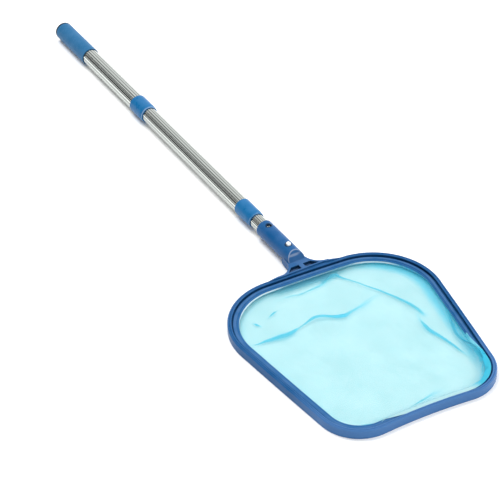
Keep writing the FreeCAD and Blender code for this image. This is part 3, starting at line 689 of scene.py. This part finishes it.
def near_run(points, run, values=None):
    """For each point: distance to a run, with a sign for its side, and the run's direction and values there."""
    tree = kdtree.KDTree(len(run))
    for number, spot in enumerate(run):
        tree.insert((*spot, 0), number)
    tree.balance()
    nearest = np.array([tree.find((*point, 0))[1] for point in points], int)
    best = np.full(len(points), np.inf)
    signed = np.zeros(len(points))
    side = np.zeros((len(points), 2))
    held = np.zeros((len(points), 0 if values is None else values.shape[1]))
    for before in (1, 0):
        number = np.clip(nearest - before, 0, len(run) - 2)
        start, step = run[number], run[number + 1] - run[number]
        length = np.linalg.norm(step, axis=1)
        share = clipped(np.sum((points - start) * step, axis=1) / length ** 2)[:, None]
        away = points - (start + share * step)
        distance = np.linalg.norm(away, axis=1)
        left = left_of(step)
        closer = distance < best
        best[closer] = distance[closer]
        signed[closer] = (distance * np.sign(np.sum(away * left, axis=1)))[closer]
        side[closer] = left[closer]
        if values is not None:
            held[closer] = (values[number] + share * (values[number + 1] - values[number]))[closer]
    return signed, side, held


def sparse(points, gaps, taken, cell):
    """Adds the points that keep their gap from those already taken."""
    for point, gap in zip(points, gaps):
        key = (int(point[0] // cell), int(point[1] // cell))
        close = (other for i in (-1, 0, 1) for j in (-1, 0, 1)
                 for other in taken.get((key[0] + i, key[1] + j), ()))
        if all((point[0] - x) ** 2 + (point[1] - y) ** 2 > gap ** 2 for x, y in close):
            taken.setdefault(key, []).append((point[0], point[1]))


class SKIMMER_OT_net(bpy.types.Operator):
    """Makes the slack net: its edge under the clamp ring or lapped over it in front, its floor and its pleats"""
    bl_idname = "skimmer.net"
    bl_label = "Net"

    def execute(self, context):
        sizes = look("net")
        spacing = sizes.spacing
        low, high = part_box("net_clamp_ring")
        rim = clamp_edge(spacing)
        across, along = from_button(rim)
        lapped = front_share(across, along)
        widest = (LAP_WIDTH - LAP_NARROWING * clipped((across - 45 * MM) / (25 * MM))) * MM
        outwards = np.where(lapped < 0.5, TUCK * (1 - 2 * lapped), widest * (2 * lapped - 1))
        tucked = inwards(rim, -outwards[:, None])

        crests = []
        button = np.array(button_place()[:2])
        for pleat in PLEATS:
            run = smooth_run([(x * MM, y * MM, half * MM, strength) for x, y, half, strength in pleat], 0.9 * MM)
            crests.append((run[:, :2] + button, run[:, 2:]))

        taken = {}
        cell = spacing
        sparse(tucked, np.full(len(tucked), spacing * 0.3), taken, cell)
        inside = inwards(rim, 0.4 * spacing)
        steps = (0.22, 0.45, 0.7, 0.95, 1.25, 1.6, 2.1, 2.8)
        offsets = [*(-step for step in reversed(steps)), 0, *steps]
        for crest, values in crests:
            side = left_of(np.gradient(crest, axis=0))
            width = FOLD_REACH * values[:, 0]
            for offset in offsets:
                spots = crest + side * (offset * width)[:, None]
                distance = near_run(spots, looped(rim))[0]
                keep = self.contained(spots, rim) & (np.abs(distance) > spacing * 0.4)
                gaps = np.maximum(width * 0.18, 0.3 * MM)
                sparse(spots[keep], gaps[keep], taken, cell)
        sparse(inside, np.full(len(inside), spacing * 0.5), taken, cell)
        for row in LAP_ROWS:
            sparse(inwards(rim, -row), np.full(len(rim), spacing * 0.5), taken, cell)
        columns = np.arange(low.x, high.x, spacing)
        rows = np.arange(low.y, high.y, spacing * math.sqrt(0.75))
        grid = np.array([(x + (spacing / 2 if number % 2 else 0), y)
                         for number, y in enumerate(rows) for x in columns])
        grid = grid[self.contained(grid, inwards(rim, spacing * 0.5))]
        sparse(grid, np.full(len(grid), spacing * 0.75), taken, cell)

        spots = np.array([spot for cluster in taken.values() for spot in cluster])
        outline = [Vector(spot) for spot in tucked]
        loop = [(number, (number + 1) % len(outline)) for number in range(len(outline))]
        keep = np.abs(near_run(spots, looped(tucked))[0]) > spacing * 0.25
        points = outline + [Vector(spot) for spot in spots[keep & self.contained(spots, tucked)]]
        found = delaunay_2d_cdt(points, loop, [], 1, 1e-7)
        flat = np.array([tuple(point) for point in found[0]])
        faces = [face for face in found[2] if len(face) == 3]

        mesh = bpy.data.meshes.new("net_cloth")
        mesh.from_pydata([(x, y, 0) for x, y in flat], [], faces)
        normal_up = sum(face.normal.z for face in mesh.polygons)
        if normal_up < 0:
            mesh.flip_normals()
        place, shares = self.hung(flat, rim, crests, sizes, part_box("leaf_net")[1].z)
        mesh.vertices.foreach_set("co", place.ravel())
        for name, values in shares.items():
            mesh.attributes.new(name, "FLOAT", "POINT").data.foreach_set("value", values)
        self.lay_flat(mesh, flat)
        mesh.shade_smooth()
        net = linked("net_cloth", mesh)
        assign(net, net_mesh("net_mesh"))
        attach(net, HEAD_BODY)
        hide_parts("leaf_net")
        return {"FINISHED"}

    def contained(self, points, run):
        """Which points lie inside a closed run."""
        inside = np.zeros(len(points), bool)
        for (x1, y1), (x2, y2) in zip(run, np.roll(run, -1, axis=0)):
            crosses = (y1 > points[:, 1]) != (y2 > points[:, 1])
            if y1 != y2:
                at = (x2 - x1) * (points[:, 1] - y1) / (y2 - y1) + x1
                inside ^= crosses & (points[:, 0] < at)
        return inside

    def lay_flat(self, mesh, flat):
        """A map of the cloth as it was cut, in shares of one fixed length."""
        corner = flat.min(axis=0)
        layer = mesh.uv_layers.new(name=FLAT_MAP)
        index = np.zeros(len(mesh.loops), int)
        mesh.loops.foreach_get("vertex_index", index)
        layer.data.foreach_set("uv", ((flat - corner) / FLAT_UNIT)[index].ravel())

    def hung(self, flat, rim, crests, sizes, top):
        """Where each point of the cut cloth hangs, and how much it belongs to pleats, to painted shade and shadow
        near the ring, and to the lap.
        """
        distance = np.abs(near_run(flat, looped(rim))[0])
        inside = self.contained(flat, rim)
        beyond = np.where(inside, 0, distance)
        distance[~inside] = 0
        down = clipped(distance / sizes.slope)
        lapped = front_share(*from_button(flat))
        raised = clipped((lapped - 0.1) / 0.35)
        edge = top + raised * (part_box("net_clamp_ring")[1].z + 0.5 * MM - top)
        height = edge + (sizes.floor - edge) * (1 - (1 - down) ** SAG) + lapped * beyond * LAP_RISE
        slack = clipped((distance - 0.25 * sizes.slope) / (2 * sizes.slope))
        billow = np.array([
            noise.noise(Vector((x * 17, y * 15, 3.1))) + 0.45 * noise.noise(Vector((x * 42, y * 36, 7.7)))
            for x, y in flat])
        crinkle = np.array([noise.noise(Vector((x * 150, y * 120, 1.3))) for x, y in flat])
        height += slack * (clipped(billow + 0.25) * 2.4 * MM + (crinkle + 0.6) * 0.28 * MM)
        moved = np.zeros_like(flat)
        share, fold_shadow = np.zeros(len(flat)), np.zeros(len(flat))
        for crest, values in crests:
            signed, side, held = near_run(flat, crest, values)
            half, strength = held.T
            width = FOLD_REACH * half
            across = signed / width
            firm = strength * clipped(distance / (5 * MM))
            held_back = np.minimum(firm, 1)
            pull = FOLD_PULL * held_back * np.exp(-across ** 2)
            moved -= side * (signed * pull)[:, None]
            height += np.minimum(sizes.pleat_height, FOLD_RISE * width) * held_back * np.exp(-(across + 0.8) ** 2)
            seen = np.abs(across * (1 - pull)) * FOLD_REACH
            layered = clipped((1.5 - np.abs(across)) / 0.3)
            share = np.maximum(share, held_back * layered * (0.55 + 0.45 * np.exp(-((seen - 0.9) / 0.35) ** 2)))
            # Painted shadow along the strongest folds.
            fold_shadow = np.maximum(fold_shadow, clipped(firm - 1) * layered)
        # Painted shade near the ring, and painted shadow under the neck.
        bunched_and_shaded, deep = self.bunched_and_shaded(flat, distance)
        deep = np.maximum(deep, fold_shadow)
        lap = raised * clipped((3 * MM - distance) / (2 * MM))
        shares = {PLEAT_SHARE: np.maximum(share, bunched_and_shaded), SHADOW_SHARE: deep, LAP_SHARE: lap}
        return np.column_stack([flat + moved, height]), shares

    def bunched_and_shaded(self, flat, distance):
        """How much the mesh takes the pleat colour where it climbs to the ring, partly as painted shade, most on
        the right and at the right front corner; and how much painted shadow it takes under the neck.
        """
        across, along = from_button(flat)
        right = clipped((across - 60 * MM) / (45 * MM))
        # Deeper cyan near the ring: the mesh seen edgewise there, and painted shade.
        near = clipped((14 * MM + 4 * MM * right - distance) / (10 * MM))
        corner = clipped((across - 50 * MM) / (20 * MM)) * clipped((-285 * MM - along) / (30 * MM))
        rolled = clipped((8.5 * MM - distance) / (2.0 * MM)) * corner
        # Painted shadow under the neck, strongest near the rim.
        neck_shadow = clipped((66 * MM - np.abs(across + 6 * MM)) / (40 * MM)) * clipped((along + 110 * MM) / (30 * MM))
        wide = clipped((19 * MM - distance) / (15 * MM)) ** 1.5
        return np.maximum(near * (0.25 + 0.5 * right), rolled), wide * neck_shadow


class SKIMMER_OT_hem(bpy.types.Operator):
    """Makes the rim's shoulder, the clamp ring's lip, and the net's hem and stitches, by geometry nodes"""
    bl_idname = "skimmer.hem"
    bl_label = "Hem"

    def execute(self, context):
        sizes = look("hem")
        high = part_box("net_clamp_ring")[1]
        rim = clamp_edge(3 * MM)
        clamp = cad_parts["net_clamp_ring"].data.materials[0]
        tape = hem_tape("hem_tape")
        thread = plain_moulding("hem_thread", shade(tuple(sizes.tape), 0.4), 0.8, 0.05)
        lip_height = high.z - 1.9 * MM
        shoulder = self.along("rim_shoulder", inwards(rim, 1.2 * MM - BAND_WIDTH - GROOVE), RIM_TOP - 1.1 * MM,
                              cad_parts["head_frame"].data.materials[0], 1.4 * MM, 1.0 * MM, 0)
        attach(shoulder, HEAD_BODY)
        reach = self.reach(rim, sizes.lip)
        lip = self.along("clamp_lip", inwards(rim, reach / 2 - 0.2 * MM), lip_height, clamp,
                         sizes.lip / 2 + 0.2 * MM, 0.8 * MM, 0, (reach + 0.4 * MM) / (sizes.lip + 0.4 * MM))
        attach(lip, HEAD_BODY)
        tucked = np.maximum(reach - 0.5 * MM, 0.45 * MM)
        path = inwards(rim, tucked)
        height = lip_height - 0.2 * MM - sizes.height / 2 + (1 - reach[:, 0] / sizes.lip) * 0.7 * MM
        hem = self.along("net_hem", path, height, tape, sizes.thickness / 2, sizes.height / 2, 0)
        inside = inwards(rim, tucked + sizes.thickness / 2)
        half_length, half_thickness = 0.0006, 0.00022
        stitches = self.along("hem_stitches", inside, height - 0.6 * MM, thread, half_length, half_thickness,
                              sizes.stitches)
        for piece in (hem, stitches):
            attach(piece, HEAD_BODY)
        return {"FINISHED"}

    def reach(self, rim, widest):
        """How far the lip reaches in: least on the right and in front, where hem and net hide the clamp ring."""
        across, along = from_button(rim)
        right = clipped((across - 20 * MM) / (40 * MM)) * clipped((-110 * MM - along) / (40 * MM))
        rear = clipped((along + 140 * MM) / (40 * MM)) * clipped((across + 115 * MM) / (40 * MM))
        kept = np.minimum(1 - 0.93 * right, 1 - 0.93 * front_share(across, along))
        return (widest * (1 - 0.4 * rear) * kept)[:, None]

    def along(self, name, path, height, material, half_width, half_height, count, taper=None):
        """A rolled band along a closed path or, with a count, that many short stitches on it."""
        curve = bpy.data.curves.new(name + "_path", "CURVE")
        curve.dimensions = "3D"
        spline = curve.splines.new("POLY")
        spline.points.add(len(path) - 1)
        for point, (x, y), z in zip(spline.points, path, np.broadcast_to(height, len(path))):
            point.co = (x, y, z, 1)
        if taper is not None:
            spline.points.foreach_set("radius", taper.ravel())
        spline.use_cyclic_u = True
        carrier = linked(name, curve)
        tree, sockets = self.tree(name, count > 0)
        modifier = carrier.modifiers.new("Band", "NODES")
        modifier.node_group = tree
        values = {"Half width": half_width, "Half height": half_height, "Count": count, "Finish": material}
        for label, identifier in sockets.items():
            modifier[identifier] = values[label]
        bpy.context.view_layer.update()
        evaluated = carrier.evaluated_get(bpy.context.evaluated_depsgraph_get())
        mesh = bpy.data.meshes.new_from_object(evaluated)
        bpy.data.objects.remove(carrier)
        mesh.name = name
        mesh.shade_smooth()
        return linked(name, mesh)

    def tree(self, name, stitched):
        group = bpy.data.node_groups.new(name + "_nodes", "GeometryNodeTree")
        sockets = {}
        group.interface.new_socket("Geometry", in_out="INPUT", socket_type="NodeSocketGeometry")
        group.interface.new_socket("Geometry", in_out="OUTPUT", socket_type="NodeSocketGeometry")
        kinds = (("Half width", "Float"), ("Half height", "Float"), ("Count", "Int"), ("Finish", "Material"))
        for label, kind in kinds:
            socket = group.interface.new_socket(label, in_out="INPUT", socket_type="NodeSocket" + kind)
            sockets[label] = socket.identifier

        def add(kind, links=None, **settings):
            node = group.nodes.new(kind)
            for key, value in settings.items():
                setattr(node, key, value)
            for key, value in (links or {}).items():
                if hasattr(value, "is_linked"):
                    group.links.new(value, node.inputs[key])
                else:
                    node.inputs[key].default_value = value
            return node

        given = add("NodeGroupInput").outputs
        if stitched:
            spots = add("GeometryNodeCurveToPoints", {"Curve": given["Geometry"], "Count": given["Count"]},
                        mode="COUNT")
            bead = add("GeometryNodeMeshUVSphere", {"Segments": 8, "Rings": 6, "Radius": 1.0})
            scale = add("ShaderNodeCombineXYZ", {
                "X": given["Half height"], "Y": given["Half width"], "Z": given["Half height"]})
            turned = add("FunctionNodeAlignRotationToVector", {"Vector": spots.outputs["Tangent"]}, axis="Y")
            placed = add("GeometryNodeInstanceOnPoints", {
                "Points": spots.outputs["Points"], "Instance": bead.outputs["Mesh"],
                "Rotation": turned.outputs["Rotation"], "Scale": scale.outputs["Vector"]})
            shape = placed.outputs["Instances"]
        else:
            ring = add("GeometryNodeCurvePrimitiveCircle", {"Resolution": 12, "Radius": 1.0})
            scale = add("ShaderNodeCombineXYZ", {"X": given["Half width"], "Y": given["Half height"], "Z": 1.0})
            shaped = add("GeometryNodeTransform", {
                "Geometry": ring.outputs["Curve"], "Scale": scale.outputs["Vector"]})
            band = add("GeometryNodeCurveToMesh", {
                "Curve": given["Geometry"], "Profile Curve": shaped.outputs["Geometry"]})
            shape = band.outputs["Mesh"]
        real = add("GeometryNodeRealizeInstances", {"Geometry": shape})
        done = add("GeometryNodeSetMaterial", {"Geometry": real.outputs["Geometry"], "Material": given["Finish"]})
        group.links.new(done.outputs["Geometry"], add("NodeGroupOutput").inputs["Geometry"])
        return group, sockets


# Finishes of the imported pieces.

class SKIMMER_OT_head(bpy.types.Operator):
    """Gives the moulded head and its clamp ring their blue plastic"""
    bl_idname = "skimmer.head"
    bl_label = "Head"

    def execute(self, context):
        colours = look("plastic")
        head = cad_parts["head_frame"]
        _, clamp_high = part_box("net_clamp_ring")
        ring_top = max(vertex.co.z for vertex in head.data.vertices if vertex.co.y < clamp_high.y)
        # The band just under the ring's top, which takes a painted highlight.
        crest = (ring_top - 1.0 * MM, ring_top)
        assign(head, moulded("head_plastic", tuple(colours.head), crest, painted_light=head_painted_light))
        top = clamp_high.z
        # The clamp ring's top takes a painted highlight as well.
        assign(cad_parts["net_clamp_ring"],
               moulded("clamp_plastic", tuple(colours.clamp), (top - 0.8 * MM, top)))
        return {"FINISHED"}


class SKIMMER_OT_fairings(bpy.types.Operator):
    """Makes the two fairings that carry the neck's hollow curves on into the ring"""
    bl_idname = "skimmer.fairings"
    bl_label = "Neck fairings"

    def execute(self, context):
        outline = max(flat_runs("head_frame", 0.0), key=lambda run: np.ptp(run[:, 0]))
        rear = outline[outline[:, 1] > outline[:, 1].mean() + 60 * MM]
        rear = rear[np.argsort(rear[:, 0])]
        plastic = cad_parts["head_frame"].data.materials[0]
        for name, side in (("neck_fairing_left", -1), ("neck_fairing_right", 1)):
            piece = self.fairing(name, side, rear)
            assign(piece, plastic)
            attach(piece, HEAD_BODY)
        return {"FINISHED"}

    def fairing(self, name, side, rear):
        """A wedge outside the neck plate's corner, which runs down to the ring's top."""
        button = button_place()
        edge = button.y + RING_EDGE
        root = NECK_HALF_WIDTH + NECK_REACH
        turn = math.radians(36)
        end = root + 24 * MM
        proud = 0.03 * MM
        slope = (self.rear_edge(rear, button.x + side * (end + MM))
                 - self.rear_edge(rear, button.x + side * (end - MM)))
        start = np.array([root - NECK_REACH * math.sin(turn), edge + NECK_REACH * (1 - math.cos(turn))])
        finish = np.array([end, self.rear_edge(rear, button.x + side * end)])
        leaving = np.array([math.cos(turn), -math.sin(turn)])
        arriving = np.array([2 * MM, slope]) / math.hypot(2 * MM, slope)
        reach = np.linalg.norm(finish - start)
        rows = []
        for t in np.linspace(0, 1, 25):
            spot = ((2 * t ** 3 - 3 * t ** 2 + 1) * start + (t ** 3 - 2 * t ** 2 + t) * leaving * reach
                    + (3 * t ** 2 - 2 * t ** 3) * finish + (t ** 3 - t ** 2) * arriving * reach)
            fade = min(1.0, max(0.0, (spot[0] - root) / (end - root)))
            fade = fade * fade * (3 - 2 * fade)
            top = NECK_TOP + proud - fade * 3.1 * MM
            inner_top = NECK_TOP + proud - fade * 2.1 * MM
            within = (3.0 - 1.6 * fade) * MM
            x = button.x + side * spot[0]
            y = max(spot[1], self.rear_edge(rear, x) + proud)
            rows.append([(x, y, NECK_BOTTOM), (x, y, top - 0.4 * MM), (x, y - 0.4 * MM, top),
                         (x, y - within, inner_top), (x, y - within, NECK_BOTTOM)])
        points = [point for row in rows for point in row]
        count = len(rows[0])
        faces = [tuple(range(count)), tuple(range(len(points) - 1, len(points) - count - 1, -1))]
        for number in range(len(rows) - 1):
            for corner in range(count):
                after = (corner + 1) % count
                first, second = number * count, (number + 1) * count
                faces.append((first + corner, second + corner, second + after, first + after))
        mesh = bpy.data.meshes.new(name)
        mesh.from_pydata(points, [], faces if side < 0 else [face[::-1] for face in faces])
        return linked(name, mesh)

    def rear_edge(self, rear, x):
        return float(np.interp(x, rear[:, 0], rear[:, 1]))


class SKIMMER_OT_pole(bpy.types.Operator):
    """Gives the tubes their fluted metal, and the collars their plastic"""
    bl_idname = "skimmer.pole"
    bl_label = "Pole"

    def execute(self, context):
        for node in ("inner_tube", "middle_tube", "outer_tube"):
            assign(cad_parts[node], fluted_metal(node + "_metal", node))
        plastic = moulded("collar_plastic", tuple(look("plastic").collar), None, 0.3, collar_painted_light)
        for node in ("middle_collar", "outer_collar"):
            assign(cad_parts[node], plastic)
        return {"FINISHED"}


class SKIMMER_OT_grip(bpy.types.Operator):
    """Gives the grip its foam, and its end plug a black moulding"""
    bl_idname = "skimmer.grip"
    bl_label = "Grip"

    def execute(self, context):
        low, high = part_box("grip_sleeve")
        assign(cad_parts["grip_sleeve"], foam("grip_foam", tuple(look("plastic").grip), (low.y, high.y)))
        assign(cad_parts["grip_end_plug"], plain_moulding("plug_black", (0.012, 0.012, 0.013), 0.45))
        return {"FINISHED"}


class SKIMMER_OT_small_parts(bpy.types.Operator):
    """Gives the button clip, the twist locks and their screws their finishes"""
    bl_idname = "skimmer.small_parts"
    bl_label = "Clip and locks"

    def execute(self, context):
        white = plain_moulding("clip_plastic", (0.86, 0.87, 0.86), 0.22, 0.05, painted_light=clip_painted_light)
        nylon = plain_moulding("lock_nylon", (0.72, 0.72, 0.68), 0.45)
        steel = plain_moulding("lock_steel", (0.62, 0.63, 0.64), 0.3, 0.3, 1.0)
        for node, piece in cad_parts.items():
            if node.startswith("clip_"):
                assign(piece, white)
            elif node.startswith(("lock_core", "lock_sleeve")):
                assign(piece, nylon)
            elif node.startswith("lock_"):
                assign(piece, steel)
        return {"FINISHED"}


class SKIMMER_OT_stage(bpy.types.Operator):
    """Sets the camera at the photograph's angle, a white floor, a soft light and a pale room"""
    bl_idname = "skimmer.stage"
    bl_label = "Stage"

    def execute(self, context):
        self.camera(context.scene)
        self.floor()
        self.light()
        self.room(context.scene)
        context.scene.view_settings.view_transform = "Standard"
        return {"FINISHED"}

    def camera(self, scene):
        view = look("stage")
        back = Vector((math.sin(view.azimuth) * math.cos(view.elevation),
                       -math.cos(view.azimuth) * math.cos(view.elevation),
                       math.sin(view.elevation)))
        right = Vector((0, 0, 1)).cross(back).normalized()
        up = back.cross(right)
        right, up = (right * math.cos(view.roll) + up * math.sin(view.roll),
                     up * math.cos(view.roll) - right * math.sin(view.roll))
        data = bpy.data.cameras.new("photo_camera")
        data.lens = view.lens
        data.sensor_width = SENSOR_WIDTH
        camera = linked("photo_camera", data)
        turn = Matrix((right, up, back)).transposed().to_4x4()
        camera.matrix_world = Matrix.Translation(Vector(AIM) + back * view.distance) @ turn
        scene.camera = camera

    def floor(self):
        mesh = bpy.data.meshes.new("floor")
        corners = [(x * FLOOR_REACH, y * FLOOR_REACH, 0) for x, y in ((-1, -1), (1, -1), (1, 1), (-1, 1))]
        mesh.from_pydata(corners, [], [(0, 1, 2, 3)])
        floor = linked("floor", mesh)
        finish = new_finish("white_floor")
        shader = finish.add("ShaderNodeBsdfPrincipled", inputs={
            "Base Color": (0.92, 0.92, 0.92, 1), "Roughness": 0.9, "Specular IOR Level": 0.0})
        assign(floor, finish.close(shader))

    def light(self):
        """A soft key light from behind, which polished faces don't mirror."""
        data = bpy.data.lights.new("soft_key", "SUN")
        data.energy = look("stage").key
        data.angle = KEY_SPREAD
        key = linked("soft_key", data)
        key.rotation_euler = Vector(KEY_FROM).to_track_quat("Z", "Y").to_euler()
        key.visible_glossy = False

    def room(self, scene):
        """A white tent, brighter on the right, with a greyer back wall that has a dark gap in it."""
        view = look("stage")
        scene.world = bpy.data.worlds.new("white_tent")
        finish = Finish(scene.world)
        way = finish.add("ShaderNodeTexCoord", output="Generated")
        across, along, _ = finish.split(way)
        gap = Vector(GAP_AT).normalized()
        facing = finish.add("ShaderNodeVectorMath", {"operation": "DOT_PRODUCT"}, [way, gap], "Value")
        tent = (across * 0.6 + 1.0) * view.tent
        dim = finish.between(across, -0.34, -0.16, view.back * 0.4, view.back)
        wall = dim + finish.between(facing, 0.94, 0.97) * (view.gap - dim)
        behind = finish.between(along, 0.35, 0.55)
        strength = tent + behind * (wall - tent)
        glow = finish.add("ShaderNodeBackground", inputs={"Color": (1, 1, 1, 1), "Strength": strength})
        finish.close(glow, "World")


OPERATORS = [SKIMMER_OT_head, SKIMMER_OT_fairings, SKIMMER_OT_pole, SKIMMER_OT_grip, SKIMMER_OT_small_parts,
             SKIMMER_OT_net, SKIMMER_OT_hem, SKIMMER_OT_stage]


class SKIMMER_PT_panel(bpy.types.Panel):
    """Lists the pieces and their sizes and colours"""
    bl_idname = "SKIMMER_PT_panel"
    bl_label = "Leaf skimmer"
    bl_space_type = "VIEW_3D"
    bl_region_type = "UI"
    bl_category = "Leaf skimmer"

    def draw(self, context):
        for name, group in LOOKS.items():
            box = self.layout.box()
            box.label(text=name.capitalize())
            for key in group.__annotations__:
                box.prop(look(name), key)
        for operator in OPERATORS:
            self.layout.operator(operator.bl_idname)


def register():
    for item in [*LOOKS.values(), *OPERATORS, SKIMMER_PT_panel]:
        bpy.utils.register_class(item)
    for name, group in LOOKS.items():
        setattr(bpy.types.Scene, "skimmer_" + name, bpy.props.PointerProperty(type=group))


def unregister():
    for name in LOOKS:
        delattr(bpy.types.Scene, "skimmer_" + name)
    for item in reversed([*LOOKS.values(), *OPERATORS, SKIMMER_PT_panel]):
        bpy.utils.unregister_class(item)


def main():
    register()
    for operator in OPERATORS:
        group, name = operator.bl_idname.split(".")
        getattr(getattr(bpy.ops, group), name)()


if __name__ == "__main__":
    main()
